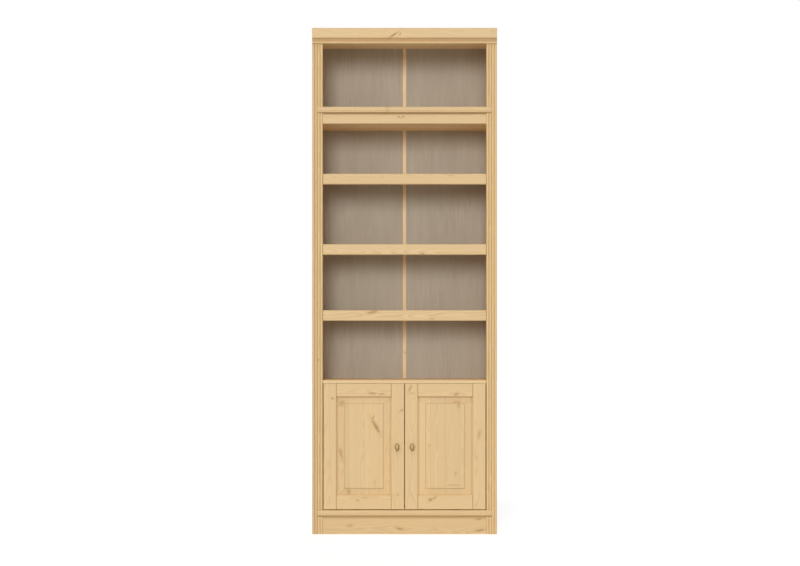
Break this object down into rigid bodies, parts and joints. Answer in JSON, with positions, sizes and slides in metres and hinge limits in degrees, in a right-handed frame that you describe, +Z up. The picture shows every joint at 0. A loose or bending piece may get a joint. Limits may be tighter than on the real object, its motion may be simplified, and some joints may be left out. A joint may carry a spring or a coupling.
{
  "type": "bookcase with cabinet doors",
  "caption": "Tall narrow pine bookcase with reeded front edges, crown moulding, adjustable lipped shelves over a cupboard with framed raised-panel doors and oval knobs.",
  "frame": {"origin": "on the floor, in the middle of the whole footprint, knobs included", "axes": "+X to the right, +Y to the back, +Z up; the doors face -Y"},
  "size_m": [0.8, 0.2964, 2.19],
  "materials": {
    "pine": "clear satin lacquer over knotty pine",
    "grey_back": "matt taupe-grey woodgrain board",
    "antique_brass": "antiqued cast brass, dark in the hollows",
    "brass": "turned brass",
    "zinc_steel": "zinc-plated steel",
    "catch_plastic": "brown moulded plastic"
  },
  "bodies": {
    "carcass": {"back_muntin": "pine", "back_panel_left": "grey_back", "back_panel_right": "grey_back", "bottom_board": "pine", "bracket_screws": "zinc_steel", "crown_moulding": "pine", "cupboard_shelf": "pine", "fixed_shelf": "pine", "frieze_rail": "pine", "glue_blocks": "pine", "head_board": "pine", "high_shelf": "pine", "high_shelf_lip": "pine", "ledge_board": "pine", "low_shelf": "pine", "low_shelf_lip": "pine", "magnetic_catches": "catch_plastic", "main_strip_left": "pine", "main_strip_right": "pine", "middle_shelf": "pine", "middle_shelf_lip": "pine", "pivot_bushes": "brass", "plinth": "pine", "plinth_strip_left": "pine", "plinth_strip_right": "pine", "shelf_pins": "brass", "side_panel_left": "pine", "side_panel_right": "pine", "top_board": "pine", "upper_strip_left": "pine", "upper_strip_right": "pine", "wall_brackets": "zinc_steel"},
    "door_left": {"door_left_bottom_pivot": "zinc_steel", "door_left_bottom_rail": "pine", "door_left_hinge_stile": "pine", "door_left_knob": "antique_brass", "door_left_knob_screw": "zinc_steel", "door_left_meeting_stile": "pine", "door_left_panel": "pine", "door_left_strike_plate": "zinc_steel", "door_left_top_pivot": "zinc_steel", "door_left_top_rail": "pine"},
    "door_right": {"door_right_bottom_pivot": "zinc_steel", "door_right_bottom_rail": "pine", "door_right_hinge_stile": "pine", "door_right_knob": "antique_brass", "door_right_knob_screw": "zinc_steel", "door_right_meeting_stile": "pine", "door_right_panel": "pine", "door_right_strike_plate": "zinc_steel", "door_right_top_pivot": "zinc_steel", "door_right_top_rail": "pine"}
  },
  "joints": [
    {"name": "door_left_hinge", "type": "hinge", "parent": "carcass", "child": "door_left", "pos_m": [-0.339, -0.11775, 0.3802], "axis": [0, 0, -1], "range_deg": [0, 120]},
    {"name": "door_right_hinge", "type": "hinge", "parent": "carcass", "child": "door_right", "pos_m": [0.339, -0.11775, 0.3802], "axis": [0, 0, 1], "range_deg": [0, 120]}
  ]
}
